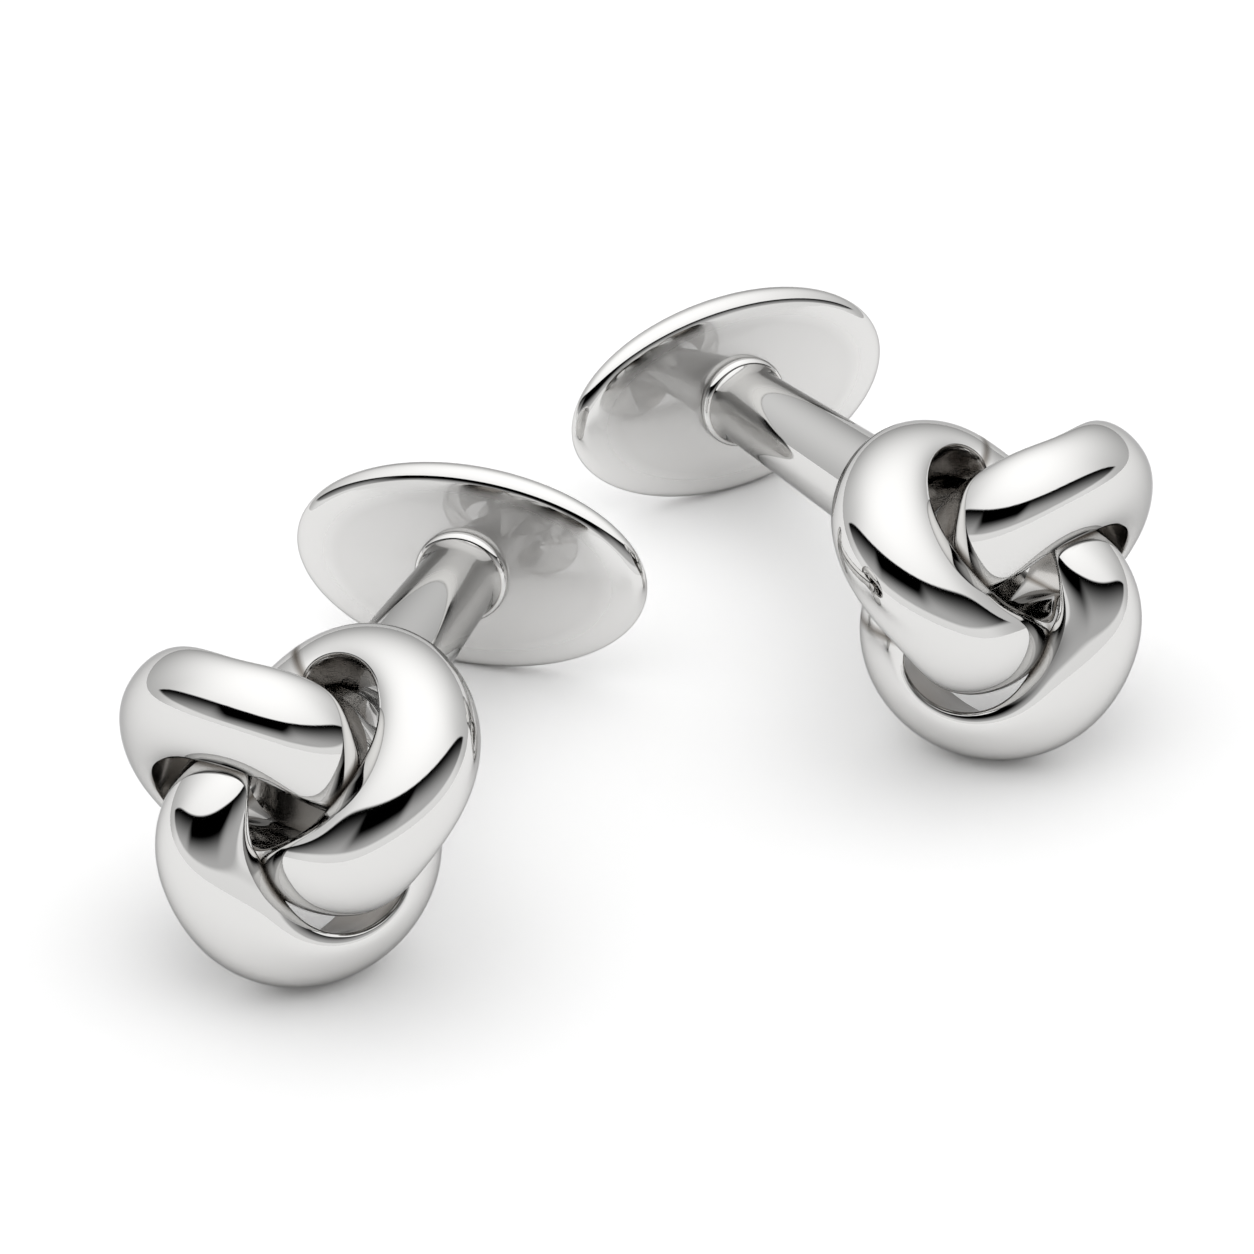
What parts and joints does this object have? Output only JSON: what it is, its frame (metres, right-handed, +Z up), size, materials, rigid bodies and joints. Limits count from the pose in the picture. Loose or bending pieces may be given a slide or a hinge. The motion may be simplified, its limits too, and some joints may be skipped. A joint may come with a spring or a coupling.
{
  "type": "cufflink pair",
  "caption": "Polished silver knot cufflinks laid out as a mirrored pair: interlaced trefoil head, flared fixed post, collar bead and oval back that hold a shirt cuff closed.",
  "frame": {"origin": "on the table, under the middle of the pair's bounding box", "axes": "+Z up from the table, the knots face -Y, +X to the right as pictured"},
  "size_m": [0.036, 0.0384, 0.0123],
  "materials": {
    "polished_silver": "mirror polish"
  },
  "bodies": {
    "root": {"left_outer_strand": "polished_silver", "left_lower_strand": "polished_silver", "left_inner_strand": "polished_silver", "left_post": "polished_silver", "left_collar": "polished_silver", "left_back_plate": "polished_silver", "right_outer_strand": "polished_silver", "right_lower_strand": "polished_silver", "right_inner_strand": "polished_silver", "right_post": "polished_silver", "right_collar": "polished_silver", "right_back_plate": "polished_silver"}
  },
  "joints": []
}
